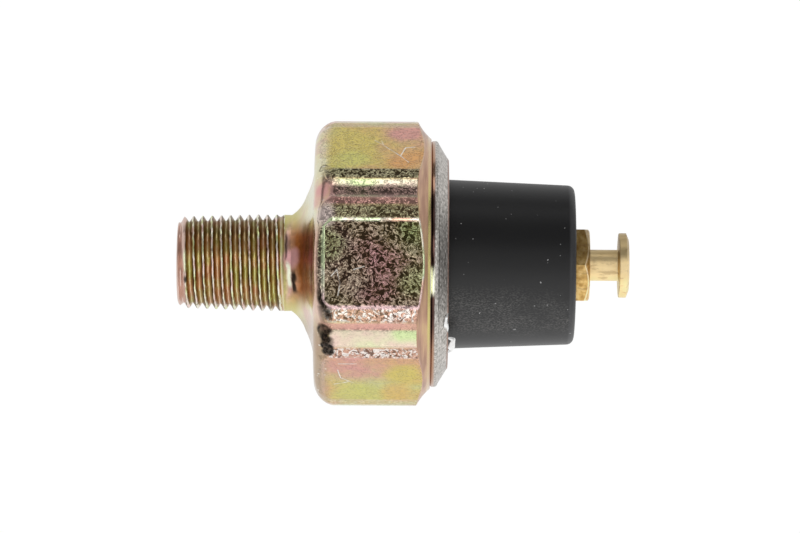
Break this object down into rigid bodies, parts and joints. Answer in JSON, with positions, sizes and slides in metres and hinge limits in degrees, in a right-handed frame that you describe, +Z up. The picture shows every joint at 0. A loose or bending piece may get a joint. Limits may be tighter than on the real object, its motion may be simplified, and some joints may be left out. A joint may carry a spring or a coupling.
{
  "type": "oil pressure sender",
  "caption": "Oil pressure sender: hexagonal plated steel body with a taper thread, black moulded insulator under a rolled lip, and a brass terminal with a round head.",
  "frame": {"origin": "on the surface that the part lies on, under the middle of its length", "axes": "+X along the part's axis from the threaded end to the terminal, +Z up out of the hexagon's upper flat"},
  "size_m": [0.0444, 0.028, 0.026],
  "materials": {
    "zinc_plated_steel": "yellow zinc plated, satin",
    "black_moulding": "matt black phenolic",
    "brass": "turned, slightly tarnished",
    "seal_rubber": "matt",
    "diaphragm_film": "amber film",
    "plain_steel": "pressed, bright",
    "gasket_fibre": "matt",
    "white_moulding": "matt",
    "spring_steel": "bright wire"
  },
  "bodies": {
    "housing": {"hex_body": "zinc_plated_steel", "seal_ring": "seal_rubber", "diaphragm": "diaphragm_film", "ground_plate": "plain_steel", "flange_gasket": "gasket_fibre", "contact_spring": "spring_steel", "insulator": "black_moulding", "terminal_seal": "seal_rubber", "terminal_stud": "brass", "terminal_washer": "brass", "terminal_nut": "brass"},
    "contact": {"pusher": "white_moulding", "moving_contact": "brass"}
  },
  "joints": [
    {"name": "contact_slide", "type": "slide", "parent": "housing", "child": "contact", "axis": [1, 0, 0], "range_m": [0, 0.0005], "stiffness_N_per_m": 1500, "deforming": ["contact_spring", "diaphragm"]}
  ]
}
